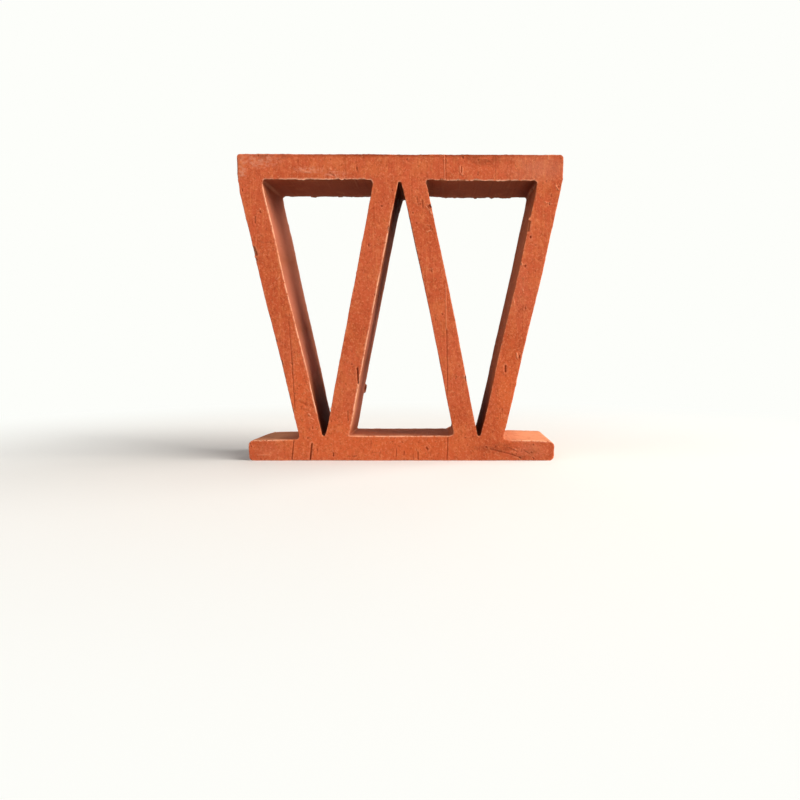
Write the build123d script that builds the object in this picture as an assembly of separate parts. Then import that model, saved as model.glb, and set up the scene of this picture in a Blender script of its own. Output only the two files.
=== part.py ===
from build123d import *

import os

# Terracotta breeze block with a W-shaped lattice, extruded and fired as one piece.
# Frame: +Z up, front wire-cut face towards -Y, origin at the centre of the lower bed.
# Everything is in millimetres.

# Overall sizes
WIDTH = 200.0  # length of both slabs
HEIGHT = 190.0  # lower bed to upper bed
DEPTH = 60.0  # length that the wires cut off the extruded column

# Walls of the die
TOP_SLAB = 15.5
BOTTOM_SLAB = 15.0
LEG_RUN = 15.1  # thickness of a leg, measured along the slabs
NOSE_GAP = 1.5  # gap that two legs leave between them where they reach a slab

# Corners of the profile, all running from front to back
TOP_EDGE_RADIUS = 2.0  # upper slab's two outer edges
BOTTOM_EDGE_RADIUS = 3.5  # lower slab's four outer edges
KNEE_RADIUS = 12.0  # upper slab's end turning into the outer leg
HEEL_RADIUS = 1.5  # outer leg standing on the lower slab
BASE_RADIUS = 2.5  # two wide corners of each opening
NOSE_RADIUS = 1.2  # narrow end of each opening

# Arrises round both wire-cut faces, worn by handling
ARRIS_WEAR = 0.5

# Heights of the slabs' inner faces
slab_top = BOTTOM_SLAB
slab_underside = HEIGHT - TOP_SLAB
clear_height = slab_underside - slab_top

# Two upright legs, two crossing legs and three equal openings share the width
opening_base = (WIDTH - 4 * LEG_RUN - NOSE_GAP) / 2
leg_slope = (opening_base - NOSE_GAP) / (2 * clear_height)
leg_setback = leg_slope * clear_height
side_opening_x = WIDTH / 2 - LEG_RUN - opening_base / 2


def rounded_outline(corners):
    """Closed face on the drawing plane, from corners given as (x, z, radius)."""
    points = [(x, z) for x, z, radius in corners]
    radii = [radius for x, z, radius in corners]
    return make_face(FilletPolyline(*points, radius=radii, close=True))


def outer_outline():
    """Both slabs and the outer faces of the two outer legs."""
    right_side = [
        (WIDTH / 2, 0, BOTTOM_EDGE_RADIUS),
        (WIDTH / 2, slab_top, BOTTOM_EDGE_RADIUS),
        (WIDTH / 2 - leg_setback, slab_top, HEEL_RADIUS),
        (WIDTH / 2, slab_underside, KNEE_RADIUS),
        (WIDTH / 2, HEIGHT, TOP_EDGE_RADIUS),
    ]
    left_side = [(-x, z, radius) for x, z, radius in reversed(right_side)]
    return rounded_outline(right_side + left_side)


def opening_outline(centre_x, base_z, towards_nose):
    """One triangular opening; towards_nose is +1 with its point up and -1 with its point down."""
    nose_height = opening_base / (2 * leg_slope)
    corners = [
        (centre_x - opening_base / 2, base_z, BASE_RADIUS),
        (centre_x + opening_base / 2, base_z, BASE_RADIUS),
        (centre_x, base_z + towards_nose * nose_height, NOSE_RADIUS),
    ]
    return rounded_outline(corners)


def profile():
    """Section of the extruded column: the outline less its three openings."""
    openings = [
        opening_outline(-side_opening_x, slab_underside, -1),
        opening_outline(0, slab_top, 1),
        opening_outline(side_opening_x, slab_underside, -1),
    ]
    return outer_outline() - openings


def breeze_block():
    """The profile at its wire-cut length, with both cut faces' arrises eased."""
    block = extrude(Plane.XZ * profile(), amount=DEPTH / 2, both=True)
    cut_faces = block.faces().filter_by(Axis.Y)
    return chamfer(cut_faces.edges(), ARRIS_WEAR)


os.makedirs("parts", exist_ok=True)
block = breeze_block()
block.label = "breeze_block"
export_step(block, "parts/breeze_block.step")
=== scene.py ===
import math
import random

import bmesh
import bpy
import numpy as np
from bpy.props import FloatProperty, IntProperty, PointerProperty, StringProperty
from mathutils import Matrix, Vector, kdtree, noise


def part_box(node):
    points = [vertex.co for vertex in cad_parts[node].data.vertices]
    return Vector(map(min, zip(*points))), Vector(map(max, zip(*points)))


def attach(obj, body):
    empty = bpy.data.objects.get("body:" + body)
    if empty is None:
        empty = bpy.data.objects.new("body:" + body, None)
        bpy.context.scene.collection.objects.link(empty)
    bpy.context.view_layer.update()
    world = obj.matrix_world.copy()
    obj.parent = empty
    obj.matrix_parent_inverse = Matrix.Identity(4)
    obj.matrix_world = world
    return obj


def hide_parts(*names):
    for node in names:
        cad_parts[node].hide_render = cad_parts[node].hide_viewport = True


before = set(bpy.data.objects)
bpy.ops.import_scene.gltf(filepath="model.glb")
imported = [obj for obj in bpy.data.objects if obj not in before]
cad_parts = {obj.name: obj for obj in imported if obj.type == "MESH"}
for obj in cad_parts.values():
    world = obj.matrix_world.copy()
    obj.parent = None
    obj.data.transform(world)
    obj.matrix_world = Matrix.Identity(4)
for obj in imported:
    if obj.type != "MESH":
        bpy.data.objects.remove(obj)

bl_info = {
    "name": "Terracotta breeze block",
    "version": (1, 0, 0),
    "blender": (4, 5, 0),
    "location": "3D View > Sidebar > Breeze block",
    "description": "Extruded, wire-cut and fired clay screen block with a W-shaped lattice",
    "category": "Add Mesh",
}

MM = 0.001
NODE = "breeze_block"
LOW, HIGH = (Vector(corner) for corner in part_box(NODE))
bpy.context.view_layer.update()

WIDTH = HIGH.x - LOW.x
HEIGHT = HIGH.z - LOW.z
DEPTH = HIGH.y - LOW.y
FRONT = LOW.y
BACK = HIGH.y

# Two points or lengths closer than this are the same
TINY = 0.01 * MM

# Rounding errors of a cosine stay below this
SLACK = 1e-6

# A face was cut by a wire if its normal leans at least this much towards the front or the back
CUT_FACING = 0.7


class BreezeBlockSizes(bpy.types.PropertyGroup):
    """Walls and corners of the die"""

    upper_slab: FloatProperty(
        name="Upper slab", description="Thickness of the upper slab",
        default=15.5 * MM, subtype="DISTANCE", unit="LENGTH")
    lower_slab: FloatProperty(
        name="Lower slab", description="Thickness of the lower slab",
        default=15.0 * MM, subtype="DISTANCE", unit="LENGTH")
    leg_run: FloatProperty(
        name="Leg", description="Thickness of a leg, measured along the slabs",
        default=15.1 * MM, subtype="DISTANCE", unit="LENGTH")
    nose_gap: FloatProperty(
        name="Nose gap", description="Gap between two legs where they reach a slab",
        default=1.5 * MM, subtype="DISTANCE", unit="LENGTH")
    top_edge: FloatProperty(
        name="Upper edges", description="Radius of the upper slab's outer edges",
        default=2.0 * MM, subtype="DISTANCE", unit="LENGTH")
    bottom_edge: FloatProperty(
        name="Lower edges", description="Radius of the lower slab's outer edges",
        default=3.5 * MM, subtype="DISTANCE", unit="LENGTH")
    knee: FloatProperty(
        name="Knee", description="Radius where the upper slab's end turns into the outer leg",
        default=12.0 * MM, subtype="DISTANCE", unit="LENGTH")
    heel: FloatProperty(
        name="Heel", description="Radius where the outer leg stands on the lower slab",
        default=1.5 * MM, subtype="DISTANCE", unit="LENGTH")
    base_corner: FloatProperty(
        name="Wide corners", description="Radius of each opening's two wide corners",
        default=1.6 * MM, subtype="DISTANCE", unit="LENGTH")
    nose: FloatProperty(
        name="Nose", description="Radius of each opening's narrow end",
        default=1.2 * MM, subtype="DISTANCE", unit="LENGTH")


class BreezeBlockLooks(bpy.types.PropertyGroup):
    """Colours of the fired clay and of the stage"""

    clay: StringProperty(name="Clay", description="Fired clay, as sRGB hex", default="C95D3A")
    floor: StringProperty(name="Floor", description="Studio floor, as sRGB hex", default="E8E6E2")
    seed: IntProperty(name="Seed", description="Where the pits and chips fall", default=7)


def deselect_all():
    """Leaves nothing selected, whatever mode the last step ended in."""
    if bpy.context.object and bpy.context.object.mode != "OBJECT":
        bpy.ops.object.mode_set(mode="OBJECT")
    bpy.ops.object.select_all(action="DESELECT")


def linear(hex_colour):
    """An sRGB hex colour as linear red, green and blue, with full opacity."""
    parts = [int(hex_colour[i:i + 2], 16) / 255 for i in (0, 2, 4)]
    return [c / 12.92 if c <= 0.04045 else ((c + 0.055) / 1.055) ** 2.4 for c in parts] + [1.0]


# Corners that the photographed block has rounder or sharper than the die's, as shares of the radius
RIGHT_END_WEAR = 1.15
LEFT_FOOT_WEAR = 0.65
CENTRE_LEFT_WEAR = 0.7
CENTRE_RIGHT_WEAR = 2.0


def ring_corners(ring, flat):
    """Corners of one closed outline, each with both its neighbours; a flat cuts off the last one."""
    found = []
    for i, (point, radius) in enumerate(ring):
        before = ring[i - 1][0]
        after = ring[(i + 1) % len(ring)][0]
        last = i == len(ring) - 1
        found.append((point, before, after, radius, flat if last else None))
    return found


class Section:
    """The die's section in the front plane: where slabs, legs and openings stand."""

    def __init__(self, sizes):
        self.floor = LOW.z + sizes.lower_slab
        self.under = HIGH.z - sizes.upper_slab
        self.clear = self.under - self.floor
        self.base = (WIDTH - 4 * sizes.leg_run - sizes.nose_gap) / 2
        self.lean = (self.base - sizes.nose_gap) / (2 * self.clear)
        self.setback = self.lean * self.clear
        self.leg_run = sizes.leg_run
        self.nose_gap = sizes.nose_gap
        self.side = WIDTH / 2 - sizes.leg_run - self.base / 2
        nose_side = sizes.nose_gap / 2
        # A leg is its left edge under the upper slab, and the way its foot goes
        self.legs = [
            (-WIDTH / 2, 1),
            (-nose_side - sizes.leg_run, -1),
            (nose_side, 1),
            (WIDTH / 2 - sizes.leg_run, -1),
        ]
        self.upper_stops = self.stops(0.0)
        self.lower_stops = sorted([-WIDTH / 2, WIDTH / 2] + self.stops(self.setback))

    def stops(self, shift):
        """Where the legs' edges stand, after their feet have gone that far."""
        edges = []
        for left, way in self.legs:
            edges += [left + way * shift, left + way * shift + self.leg_run]
        return sorted(edges)

    def outer_side(self, sizes, way, slab_wear, foot_wear):
        """The outline's right side (way 1) or left side (way -1) from the lower bed up, with its radii."""
        half = WIDTH / 2
        return [
            ((way * half, LOW.z), sizes.bottom_edge * foot_wear),
            ((way * half, self.floor), sizes.bottom_edge * slab_wear),
            ((way * (half - self.setback), self.floor), sizes.heel),
            ((way * half, self.under), sizes.knee),
            ((way * half, HIGH.z), sizes.top_edge),
        ]

    def corners(self, sizes):
        """Each rounded corner as (point, point before, point after, radius, height of a flat or None)."""
        right = self.outer_side(sizes, 1, RIGHT_END_WEAR, 1.0)
        left = self.outer_side(sizes, -1, 1.0, LEFT_FOOT_WEAR)
        found = ring_corners(right + left[::-1], None)
        apex = self.base / (2 * self.lean)
        for centre, way, left_wear, right_wear in (
            (-self.side, -1, 1.0, 1.0),
            (0.0, 1, CENTRE_LEFT_WEAR, CENTRE_RIGHT_WEAR),
            (self.side, -1, 1.0, 1.0),
        ):
            base_z, flat = (self.floor, self.under) if way > 0 else (self.under, self.floor)
            found += ring_corners([
                ((centre - self.base / 2, base_z), sizes.base_corner * left_wear),
                ((centre + self.base / 2, base_z), sizes.base_corner * right_wear),
                ((centre, base_z + way * apex), sizes.nose),
            ], flat)
        return found


# Spacing of the block's grid, before it is drawn together towards the arrises
GRID_LEG = 0.95 * MM
GRID_SPAN = 0.95 * MM
GRID_RISE = 0.97 * MM
GRID_SLAB = 1.1 * MM
GRID_NOSE = 0.75 * MM
GRID_DEPTH = 3.7 * MM

# How strongly the grid draws together towards both ends of a stretch, from 0 to 1
EASE_LEG = 0.72
EASE_SPAN = 0.25
EASE_RISE = 0.35
EASE_SLAB = 0.72
EASE_DEPTH = 0.88


def pick_edges(piece, wanted):
    """Selects in edit mode the edges that pass a test on their two ends."""
    bpy.ops.mesh.select_mode(type="EDGE")
    bpy.ops.mesh.select_all(action="DESELECT")
    grid = bmesh.from_edit_mesh(piece.data)
    for edge in grid.edges:
        start, end = (vert.co for vert in edge.verts)
        edge.select_set(wanted(start, end))
    bmesh.update_edit_mesh(piece.data)


def level_edge(left, right, height):
    """A test for the front edge that runs level from left to right at a height."""
    def wanted(start, end):
        ends = sorted((start.x, end.x))
        level = abs(start.z - height) < TINY and abs(end.z - height) < TINY
        return level and abs(ends[0] - left) < TINY and abs(ends[1] - right) < TINY
    return wanted


def upright_edge(x, low, high):
    """A test for the front edge that stands at x between two heights."""
    def wanted(start, end):
        ends = sorted((start.z, end.z))
        upright = abs(start.x - x) < TINY and abs(end.x - x) < TINY
        return upright and abs(ends[0] - low) < TINY and abs(ends[1] - high) < TINY
    return wanted


def either(first, second):
    """A test that passes what one of two tests passes."""
    return lambda start, end: first(start, end) or second(start, end)


def pull(shift):
    """Extrudes what is selected."""
    bpy.ops.mesh.extrude_region_move(TRANSFORM_OT_translate={"value": shift})


def coarse_column(section):
    """The block as a few dozen quads: a front drawn slab by slab and leg by leg, pulled to its depth."""
    deselect_all()
    bpy.ops.mesh.primitive_plane_add(size=1, rotation=(math.pi / 2, 0, 0))
    block = bpy.context.object
    block.name = block.data.name = "clay_block"
    block.location = (0, FRONT, (section.under + HIGH.z) / 2)
    block.scale = (WIDTH, HIGH.z - section.under, 1)
    bpy.ops.object.transform_apply(location=True, rotation=True, scale=True)

    bpy.ops.object.mode_set(mode="EDIT")
    for x in section.upper_stops[1:-1]:
        bpy.ops.mesh.select_all(action="SELECT")
        bpy.ops.mesh.bisect(plane_co=(x, 0, 0), plane_no=(1, 0, 0))

    for left, way in section.legs:
        pick_edges(block, level_edge(left, left + section.leg_run, section.under))
        pull((way * section.setback, 0, -section.clear))
        pull((0, 0, LOW.z - section.floor))

    feet = section.lower_stops[1:-1]
    for left, right in ((feet[1], feet[2]), (feet[3], feet[4]), (feet[5], feet[6])):
        pick_edges(block, either(
            upright_edge(left, LOW.z, section.floor), upright_edge(right, LOW.z, section.floor)))
        bpy.ops.mesh.edge_face_add()
    for x, way in ((feet[0], -1), (feet[-1], 1)):
        pick_edges(block, upright_edge(x, LOW.z, section.floor))
        pull((way * section.setback, 0, 0))

    bpy.ops.mesh.select_all(action="SELECT")
    pull((0, DEPTH, 0))
    bpy.ops.mesh.select_all(action="SELECT")
    bpy.ops.mesh.normals_make_consistent(inside=False)
    bpy.ops.object.mode_set(mode="OBJECT")
    return block


def cut_ring(block, length, spacing, wanted):
    """Cuts the faces between parallel edges into even strips."""
    cuts = max(0, round(length / spacing) - 1)
    pick_edges(block, wanted)
    if cuts:
        bpy.ops.mesh.subdivide(number_cuts=cuts)


def fine_grid(block, section):
    """Cuts the coarse quads into a regular grid, one direction after another."""
    def across(length):
        return lambda a, b: abs(abs(a.x - b.x) - length) < TINY and abs(a.z - b.z) < TINY

    def rising(low, high):
        def wanted(a, b):
            middle = (a.z + b.z) / 2
            return abs(a.z - b.z) > TINY and low < middle < high
        return wanted

    bpy.ops.object.mode_set(mode="EDIT")
    cut_ring(block, section.leg_run, GRID_LEG, across(section.leg_run))
    cut_ring(block, section.base, GRID_SPAN, across(section.base))
    cut_ring(block, section.setback, GRID_SPAN, across(section.setback))
    cut_ring(block, section.nose_gap, GRID_NOSE, across(section.nose_gap))
    cut_ring(block, HIGH.z - section.under, GRID_SLAB, rising(section.under, HIGH.z))
    cut_ring(block, section.floor - LOW.z, GRID_SLAB, rising(LOW.z, section.floor))
    cut_ring(block, section.clear, GRID_RISE, rising(section.floor, section.under))
    cut_ring(block, DEPTH, GRID_DEPTH, lambda a, b: abs(a.y - b.y) > TINY)
    bpy.ops.object.mode_set(mode="OBJECT")


def read_points(block):
    """The mesh's points as rows of x, y and z."""
    points = np.empty(len(block.data.vertices) * 3)
    block.data.vertices.foreach_get("co", points)
    return points.reshape(-1, 3)


def write_points(block, points):
    """Moves the mesh's points to the rows of x, y and z."""
    block.data.vertices.foreach_set("co", points.ravel())
    block.data.update()


def levels(values):
    """Which level each value lies on, counted from the lowest."""
    order = np.argsort(values)
    found = np.empty(len(values), int)
    steps = np.diff(values[order], prepend=values.min()) > TINY
    found[order] = np.cumsum(steps)
    return found


def settle_order(block):
    """Puts the grid's points and faces in one order, because Blender's own differs from run to run."""
    points = read_points(block)
    order = np.lexsort((points[:, 0], levels(points[:, 1]), levels(points[:, 2])))
    new_index = np.argsort(order)
    faces = []
    for face in block.data.polygons:
        corners = new_index[list(face.vertices)].tolist()
        first = corners.index(min(corners))
        faces.append(corners[first:] + corners[:first])
    block.data.clear_geometry()
    block.data.from_pydata(points[order].tolist(), [], sorted(faces))


def draw_together(values, stops, eases):
    """Moves values between two stops towards both of them."""
    moved = values.copy()
    for low, high, ease in zip(stops, stops[1:], eases):
        inside = (values >= low - TINY) & (values <= high + TINY)
        t = np.clip((values[inside] - low) / (high - low), 0, 1)
        moved[inside] = low + (high - low) * (t - ease / math.tau * np.sin(math.tau * t))
    return moved


def stop_eases(stops, section):
    """One ease for each stretch: strong across a leg, none across a nose, gentle elsewhere."""
    eases = []
    for low, high in zip(stops, stops[1:]):
        length = high - low
        if abs(length - section.leg_run) < TINY:
            eases.append(EASE_LEG)
        elif abs(length - section.nose_gap) < TINY:
            eases.append(0.0)
        else:
            eases.append(EASE_SPAN)
    return eases


def nearest_legs(points, section):
    """For each point, which leg is nearest, counted from the left."""
    drop = section.under - points[:, 2]
    reaches = [
        np.abs(points[:, 0] - left - section.leg_run / 2 - way * section.lean * drop)
        for left, way in section.legs]
    return np.argmin(reaches, axis=0)


def leg_leans(points, section):
    """For each point, how far its leg goes sideways for each length down, and 0 in the slabs."""
    z = points[:, 2]
    ways = np.array([way for left, way in section.legs])
    in_leg = (z > section.floor + TINY) & (z < section.under - TINY)
    return np.where(in_leg, ways[nearest_legs(points, section)] * section.lean, 0.0)


def crowd_arrises(block, section):
    """Draws the grid together along every arris, where the detail is."""
    points = read_points(block)
    x, y, z = points[:, 0], points[:, 1], points[:, 2]
    leans = leg_leans(points, section)
    in_lower = z < section.floor + TINY
    top_x = x + leans * (z - section.under)
    new_z = draw_together(
        z, [LOW.z, section.floor, section.under, HIGH.z], [EASE_SLAB, EASE_RISE, EASE_SLAB])
    upper_x = draw_together(top_x, section.upper_stops, stop_eases(section.upper_stops, section))
    lower_x = draw_together(x, section.lower_stops, stop_eases(section.lower_stops, section))
    new_x = np.where(in_lower, lower_x, upper_x - leans * (new_z - section.under))
    new_y = draw_together(y, [FRONT, BACK], [EASE_DEPTH])
    write_points(block, np.column_stack([new_x, new_y, new_z]))


# How far from a rounded corner the grid gives way to it
CORNER_REACH = 6.0 * MM


def round_corner(flat_points, corner):
    """Moves points near one corner of the section radially, until the walls lie on its arc."""
    point, before, after, radius, flat = corner
    tip = np.array(point)
    along = [np.array(other) - tip for other in (before, after)]
    along = [way / np.linalg.norm(way) for way in along]
    half_angle = math.acos(float(along[0] @ along[1])) / 2
    inward = (along[0] + along[1]) / np.linalg.norm(along[0] + along[1])
    centre = tip + inward * radius / math.sin(half_angle)
    walls = [((tip + way * radius / math.tan(half_angle) - centre) / radius, radius) for way in along]
    span = float(walls[0][0] @ -inward)
    if flat is not None:
        rise = flat - centre[1]
        walls.append((np.array([0.0, math.copysign(1.0, rise)]), abs(rise)))

    rays = flat_points - centre
    reach = np.maximum(np.linalg.norm(rays, axis=1), TINY)
    rays /= reach[:, None]
    wall_reach = 1 / np.max([rays @ normal / distance for normal, distance in walls], axis=0)
    facing = (rays @ -inward >= span - SLACK) & (wall_reach > 0)
    give = np.clip(1 - np.abs(reach - wall_reach) / CORNER_REACH, 0, 1) ** 2
    shift = np.where(facing, (radius - wall_reach) * give, 0.0)
    return rays * shift[:, None]


def round_corners(block, section, sizes):
    """Gives every corner of the section its radius."""
    points = read_points(block)
    flat_points = points[:, [0, 2]]
    moves = sum(round_corner(flat_points, corner) for corner in section.corners(sizes))
    points[:, [0, 2]] += moves
    write_points(block, points)


# How drying and firing left the block a little out of true.
# A ramp is where it starts and how long it is, and a bell is where its middle lies and how wide it is.
LEG_END_RAMP = 9 * MM

# The upper slab's bed and its two ends, whose ramp is in shares of half the width
UPPER_BED_SINK = 0.88 * MM
UPPER_BED_TILT = 0.28 * MM
UPPER_END_SHIFT = 0.45 * MM
UPPER_END_RAMP = (0.8, 0.2)

# Its underside's sag, which starts right of the middle and ends, measured leftwards, at the right leg
UNDERSIDE_SAG = 0.8 * MM
SAG_START_RAMP = (15 * MM, 15 * MM)
SAG_END_RAMP = (-92 * MM, 12 * MM)

# The lower slab's top between the legs, and how soon its warp dies out above it
SLAB_FRONT_RISE = 1.2 * MM
SLAB_BACK_DIP = 0.4 * MM
RISE_END_RAMP = (34 * MM, 20 * MM)
SLAB_FADE = 3 * MM

# Its two ends, measured outwards from the middle; a droop is the sum of shares with a ramp each
DROOP_LEFT = 1.7 * MM
DROOP_RIGHT = 2.2 * MM
DROOP_RAMPS = ((0.75, (60 * MM, 12 * MM)), (0.25, (75 * MM, 25 * MM)))
LEFT_BACK_DIP = 1.3 * MM
LEFT_DIP_RAMP = (60 * MM, 10 * MM)
LOWER_END_SHIFT = 0.6 * MM
LEFT_END_SKEW = 2.4 * MM
LOWER_END_RAMP = (72 * MM, 28 * MM)

# The legs' twist: how far the back of each stands to the right of its front. The left leg's is full from
# a share of its height up and spreads into the upper slab, the inner left leg's is at its foot, and the
# two others' is low down.
LEFT_LEG_TWIST = 1.95 * MM
TWIST_HEIGHT = 0.85
TWIST_SPREAD = 30 * MM
INNER_LEFT_TWIST = 0.6 * MM
FOOT_TWIST_SPREAD = 8 * MM
FOOT_TWIST_RAMP = 2 * MM
INNER_RIGHT_TWIST = 0.55 * MM
RIGHT_LEG_TWIST = 0.5 * MM
LOW_TWIST_BELL = (55 * MM, 35 * MM)

# Where the two inner legs meet, and the left opening's right upper corner
APEX_SHIFT = 1.0 * MM
APEX_SAG = 1.3 * MM
SOFT_CORNER_FILL = 0.5 * MM
SOFT_CORNER_REACH = 2.4 * MM

# For each leg from the left, how far it sways to the right: bells, each with its shift
LEG_SWAYS = (
    ((112 * MM, 24 * MM, -0.6 * MM), (58 * MM, 12 * MM, 0.2 * MM), (160 * MM, 12 * MM, -0.3 * MM)),
    ((28 * MM, 13 * MM, 0.4 * MM),),
    ((105 * MM, 55 * MM, 0.85 * MM),),
    ((120 * MM, 38 * MM, 0.95 * MM), (163 * MM, 12 * MM, 0.4 * MM), (40 * MM, 20 * MM, 0.4 * MM)),
)


def eased(t):
    """Goes from 0 to 1 without a kink, and stays there."""
    t = np.clip(t, 0, 1)
    return t * t * (3 - 2 * t)


def ramp(values, start, length):
    """Goes from 0 where the ramp starts to 1 where it ends."""
    return eased((values - start) / length)


def bell(values, middle, spread):
    """1 in the middle, and less and less on both sides."""
    return np.exp(-((values - middle) / spread) ** 2)


def dome(x, z, middle_x, middle_z, spread):
    """1 at one point of the section, and less and less all round it."""
    return np.exp(-((x - middle_x) ** 2 + (z - middle_z) ** 2) / spread ** 2)


def warp_upper_slab(points, true, section):
    """Sinks the bed, leans both ends to the right and sags the underside on the right."""
    x, z = true[:, 0], true[:, 2]
    bed_sink = UPPER_BED_SINK + UPPER_BED_TILT * x / HIGH.x
    points[:, 2] -= bed_sink * ramp(z, section.under, HIGH.z - section.under)
    upper = ramp(z - section.under, -LEG_END_RAMP, LEG_END_RAMP)
    points[:, 0] += UPPER_END_SHIFT * ramp(np.abs(x) / (WIDTH / 2), *UPPER_END_RAMP) * upper
    under = 1 - np.clip(np.abs(z - section.under) / LEG_END_RAMP, 0, 1)
    points[:, 2] -= UNDERSIDE_SAG * under * ramp(x, *SAG_START_RAMP) * ramp(-x, *SAG_END_RAMP)


def warp_lower_slab(points, true, section, inner):
    """Tilts its top between the legs, and lets both ends droop, shorten and skew."""
    x, z = true[:, 0], true[:, 2]
    outer = np.abs(x)
    in_slab = np.clip(z / section.floor, 0, 1) * (1 - ramp(z, section.floor, SLAB_FADE))
    tilt = SLAB_FRONT_RISE - (SLAB_FRONT_RISE + SLAB_BACK_DIP) * inner
    points[:, 2] += tilt * in_slab * (1 - ramp(outer, *RISE_END_RAMP))
    droop = sum(share * ramp(outer, *where) for share, where in DROOP_RAMPS)
    points[:, 2] -= np.where(x < 0, DROOP_LEFT, DROOP_RIGHT) * droop * in_slab
    points[:, 2] -= np.where(x < 0, LEFT_BACK_DIP * inner, 0.0) * ramp(outer, *LEFT_DIP_RAMP) * in_slab
    end = ramp(outer, *LOWER_END_RAMP) * (z < section.floor + TINY)
    points[:, 0] -= np.sign(x) * LOWER_END_SHIFT * end
    points[:, 0] += LEFT_END_SKEW * np.where(x < 0, end, 0.0) * inner ** 2


def warp_legs(points, true, section, inner):
    """Sways and twists the legs, and sags the two inner ones where they meet."""
    x, z = true[:, 0], true[:, 2]
    legs = nearest_legs(true, section)
    free = ramp(z, section.floor, LEG_END_RAMP) * ramp(-z, -section.under, LEG_END_RAMP)
    for leg, sways in enumerate(LEG_SWAYS):
        for middle, spread, shift in sways:
            points[:, 0] += np.where(legs == leg, shift * bell(z, middle, spread) * free, 0.0)

    rise = ramp(z, section.floor, TWIST_HEIGHT * section.clear)
    into_slab = 1 - ramp(z, section.under, LEG_END_RAMP)
    past_wall = x - section.upper_stops[1] - section.lean * (section.under - z)
    twist = LEFT_LEG_TWIST * inner * rise * into_slab * (1 - eased(past_wall / TWIST_SPREAD))
    foot = bell(z, section.floor, FOOT_TWIST_SPREAD) * ramp(z, section.floor, FOOT_TWIST_RAMP) * inner
    low = bell(z, *LOW_TWIST_BELL) * free * inner
    twists = [twist, INNER_LEFT_TWIST * foot, INNER_RIGHT_TWIST * low, RIGHT_LEG_TWIST * low]
    points[:, 0] += np.choose(legs, twists)

    apex = dome(x, z, 0.0, section.under, LEG_END_RAMP) * inner ** 2
    points[:, 0] += APEX_SHIFT * apex
    points[:, 2] -= APEX_SAG * apex


def fill_corner(points, true, section, inner):
    """Fills in the left opening's right upper corner towards the front."""
    x, z = true[:, 0], true[:, 2]
    filled = dome(x, z, section.upper_stops[2], section.under, SOFT_CORNER_REACH) * (1 - inner) ** 2
    points[:, 0] -= SOFT_CORNER_FILL * filled
    points[:, 2] -= SOFT_CORNER_FILL * filled


def warp(block, section):
    """Sinks, droops, sways and twists the true column as drying and firing did."""
    true = read_points(block)
    points = true.copy()
    inner = np.clip((true[:, 1] - FRONT) / DEPTH, 0, 1)
    warp_upper_slab(points, true, section)
    warp_lower_slab(points, true, section, inner)
    warp_legs(points, true, section, inner)
    fill_corner(points, true, section, inner)
    write_points(block, points)


# How far a mark reaches, with the clay heaped round it, in shares of its half width
MARK_REACH = 2.0


class Mark:
    """A stroke on the skin: a pit, a nick, a gouge or a drag line, or a burr where its depth is negative."""

    def __init__(self, start, end, radius, depth, push=(0, 1, 0)):
        self.start = np.array(start)
        self.along = np.array(end) - self.start
        self.radius = radius
        self.depth = depth
        self.push = np.array(push, float) / np.linalg.norm(push)

    def distance(self, points):
        """How far points are from the stroke's middle line."""
        off = points - self.start
        length = max(self.along @ self.along, TINY * TINY)
        t = np.clip(off @ self.along / length, 0, 1)
        return np.linalg.norm(off - t[:, None] * self.along, axis=1)


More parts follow.
